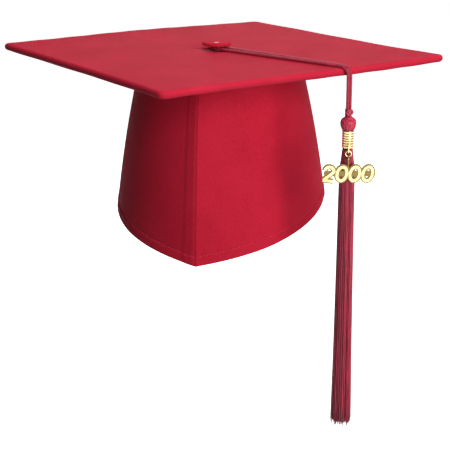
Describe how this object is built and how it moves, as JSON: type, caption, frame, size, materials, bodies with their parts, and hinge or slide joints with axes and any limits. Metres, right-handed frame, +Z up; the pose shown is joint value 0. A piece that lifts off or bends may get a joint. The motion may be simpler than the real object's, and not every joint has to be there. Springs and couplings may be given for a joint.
{
  "type": "graduation cap",
  "caption": "Square-board graduation cap with a pointed fabric crown, a covered button, a looped cord and a hanging tassel with a gilt ferrule and a small year charm.",
  "frame": {"origin": "middle of the head opening, level with the hem at the wearer's temples", "axes": "+Z up to the board, -Y to the wearer's front and +X to the wearer's left, where the tassel hangs"},
  "size_m": [0.337, 0.337, 0.2702],
  "materials": {
    "cap_fabric": "woven polyester with a soft satin sheen",
    "board": "pressed board",
    "interlining": "fused non-woven stiffener",
    "lining": "plain woven tape",
    "elastic": "woven elastic",
    "thread": "sewing thread",
    "steel": "plain",
    "tassel_silk": "shiny rayon thread",
    "gold": "bright gilt"
  },
  "bodies": {
    "cap": {"board_core": "board", "top_cover": "cap_fabric", "under_cover": "cap_fabric", "crown_panel_left": "cap_fabric", "crown_panel_right": "cap_fabric", "interlining_left": "interlining", "interlining_right": "interlining", "crown_top": "lining", "headband": "lining", "elastic_band": "elastic", "front_seam_tape": "lining", "back_casing": "cap_fabric", "hem_stitching": "thread", "button_cover": "cap_fabric", "button_shell": "steel", "button_back": "steel", "button_shank": "steel", "shank_washer": "steel"},
    "tassel_cord": {"cord_loop": "tassel_silk"},
    "cord_drop": {"cord_drop_front": "tassel_silk", "cord_drop_back": "tassel_silk"},
    "knot": {"tassel_knot": "tassel_silk"},
    "tassel": {"tassel_head": "tassel_silk", "neck_thread": "tassel_silk", "skein": "tassel_silk", "ferrule": "gold"},
    "ring": {"jump_ring": "gold"},
    "charm": {"year_charm": "gold"}
  },
  "joints": [
    {"name": "tassel_turn", "type": "hinge", "parent": "cap", "child": "tassel_cord", "pos_m": [0, -0.0212, 0.11775], "axis": [0, 0, 1], "range_deg": [-26, 0]},
    {"name": "drop_swing", "type": "hinge", "parent": "tassel_cord", "child": "cord_drop", "pos_m": [0.10734, -0.08827, 0.1086], "axis": [-0.5299, -0.848, 0], "range_deg": [0, 60]},
    {"name": "knot_sway", "type": "hinge", "parent": "cord_drop", "child": "knot", "pos_m": [0.10734, -0.08827, 0.0861], "axis": [0.848, -0.5299, 0], "range_deg": [-40, 40]},
    {"name": "tassel_swing", "type": "hinge", "parent": "knot", "child": "tassel", "pos_m": [0.10734, -0.08827, 0.0861], "axis": [-0.5299, -0.848, 0], "range_deg": [-15, 45]},
    {"name": "ring_swing", "type": "hinge", "parent": "tassel", "child": "ring", "pos_m": [0.10867, -0.09453, 0.0601], "axis": [-0.9781, -0.2079, 0], "range_deg": [0, 60]},
    {"name": "charm_swing", "type": "hinge", "parent": "ring", "child": "charm", "pos_m": [0.10867, -0.09453, 0.0561], "axis": [-0.9781, -0.2079, 0], "range_deg": [0, 45]}
  ]
}
